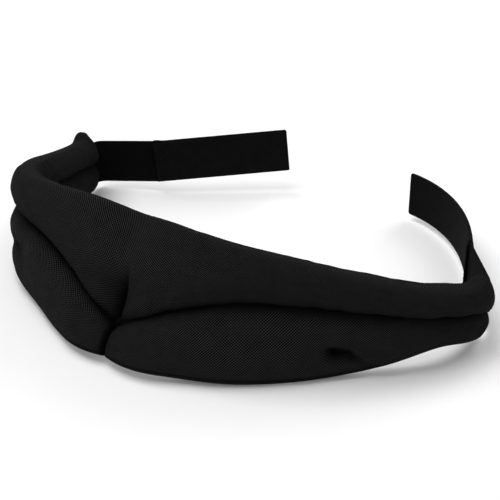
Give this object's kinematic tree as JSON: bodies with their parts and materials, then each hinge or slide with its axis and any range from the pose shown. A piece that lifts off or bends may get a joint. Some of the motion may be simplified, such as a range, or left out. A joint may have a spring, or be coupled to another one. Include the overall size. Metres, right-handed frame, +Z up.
{
  "type": "padded sleep mask",
  "caption": "Padded wrap-around blackout eye mask with forehead roll, shaped cheek pads, nose dart and hook-and-loop straps, standing open.",
  "frame": {"origin": "centre of the bounding box's base, on the surface that the mask stands on", "axes": "+Z up, the nose points towards -Y and the straps lie at +Y, +X is the right half as seen from in front"},
  "size_m": [0.3086, 0.2335, 0.0792],
  "materials": {
    "cover_fabric": "matt black fine twill weave, slightly napped",
    "lining_fabric": "matt black soft knit",
    "foam_filling": "soft open-cell foam, inside the covers",
    "elastic_webbing": "matt black ribbed elastic",
    "tab_webbing": "matt black woven webbing",
    "hook_tape": "matt black hook tape",
    "loop_tape": "matt black fuzzy loop tape",
    "thread": "black sewing thread"
  },
  "bodies": {
    "right_half": {"right_forehead_cover": "cover_fabric", "right_forehead_lining": "lining_fabric", "right_forehead_filling": "foam_filling", "right_cheek_cover": "cover_fabric", "right_cheek_lining": "lining_fabric", "right_cheek_filling": "foam_filling", "right_seam_thread": "thread", "right_cheek_tack": "thread", "right_strap_bartack": "thread", "nose_dart_thread": "thread"},
    "left_half": {"left_forehead_cover": "cover_fabric", "left_forehead_lining": "lining_fabric", "left_forehead_filling": "foam_filling", "left_cheek_cover": "cover_fabric", "left_cheek_lining": "lining_fabric", "left_cheek_filling": "foam_filling", "left_seam_thread": "thread", "left_cheek_tack": "thread", "left_strap_bartack": "thread"},
    "right_strap": {"right_elastic": "elastic_webbing"},
    "right_tab": {"right_tab_webbing": "tab_webbing", "right_loop_tape": "loop_tape", "right_tape_stitching": "thread", "right_join_stitching": "thread"},
    "left_strap": {"left_elastic": "elastic_webbing"},
    "left_tab": {"left_tab_webbing": "tab_webbing", "left_hook_tape": "hook_tape", "left_tape_stitching": "thread", "left_join_stitching": "thread"}
  },
  "joints": [
    {"name": "nose_fold", "type": "hinge", "parent": "right_half", "child": "left_half", "pos_m": [-0.0142, -0.1034, 0.02015], "axis": [0, -0.6293, -0.7771], "range_deg": [-35, 10]},
    {"name": "right_strap_swing", "type": "hinge", "parent": "right_half", "child": "right_strap", "pos_m": [0.1461, 0.02972, 0.01915], "axis": [0, 0, 1], "range_deg": [-40, 45]},
    {"name": "right_tab_flex", "type": "hinge", "parent": "right_strap", "child": "right_tab", "pos_m": [0.11596, 0.06341, 0.01915], "axis": [0, 0, 1], "range_deg": [-60, 45]},
    {"name": "left_strap_swing", "type": "hinge", "parent": "left_half", "child": "left_strap", "pos_m": [-0.14968, 0.04035, 0.01915], "axis": [0, 0, -1], "range_deg": [-85, 12]},
    {"name": "left_tab_flex", "type": "hinge", "parent": "left_strap", "child": "left_tab", "pos_m": [-0.10841, 0.05831, 0.02325], "axis": [0.0831, 0.0362, -0.9959], "range_deg": [-45, 60]}
  ]
}
